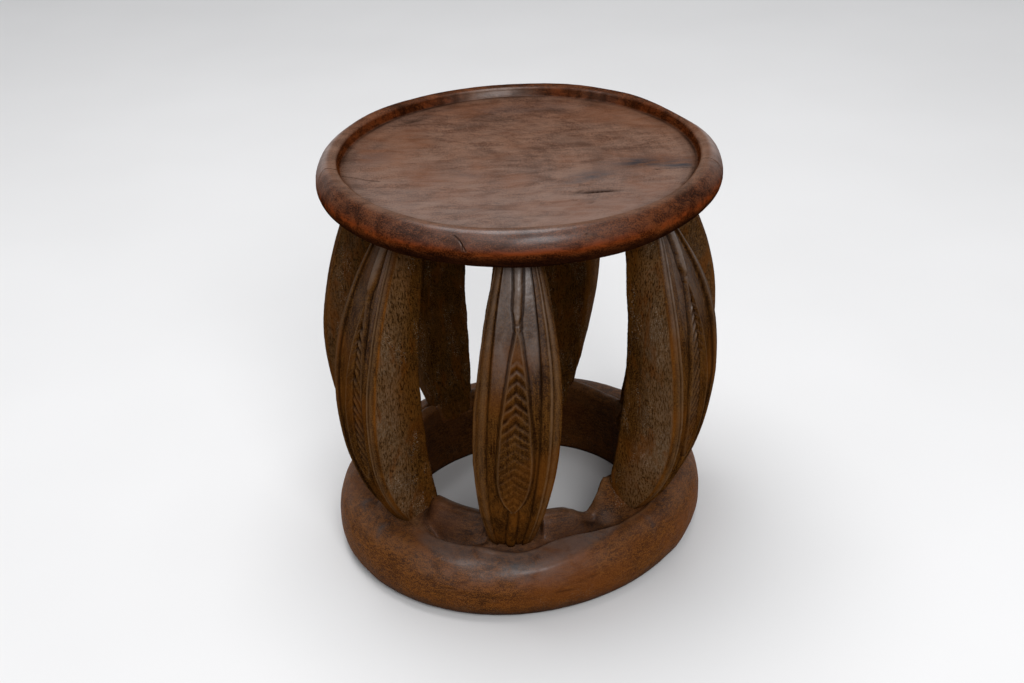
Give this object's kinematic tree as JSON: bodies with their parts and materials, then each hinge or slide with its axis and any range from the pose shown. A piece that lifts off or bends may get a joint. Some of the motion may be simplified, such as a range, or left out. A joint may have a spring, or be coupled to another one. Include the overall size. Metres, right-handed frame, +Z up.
{
  "type": "carved stool",
  "caption": "Round carved wooden stool: a dished seat with a rolled rim on bowed, leaf carved staves that stand on a heavy foot ring.",
  "frame": {"origin": "middle of the whole stool's footprint, on the floor", "axes": "+Z up from the floor through the seat, -Y towards the viewer and leg_1, +X to the viewer's right"},
  "size_m": [0.3814, 0.383, 0.3885],
  "materials": {
    "seat_wood": "worn, hand rubbed, satin",
    "ring_wood": "worn, hand rubbed, satin",
    "leg_wood": "dark, carved, satin on the ridges"
  },
  "bodies": {
    "root": {"seat": "seat_wood", "base_ring": "ring_wood", "leg_1": "leg_wood", "leg_2": "leg_wood", "leg_3": "leg_wood", "leg_4": "leg_wood", "leg_5": "leg_wood", "leg_6": "leg_wood", "leg_7": "leg_wood"}
  },
  "joints": []
}
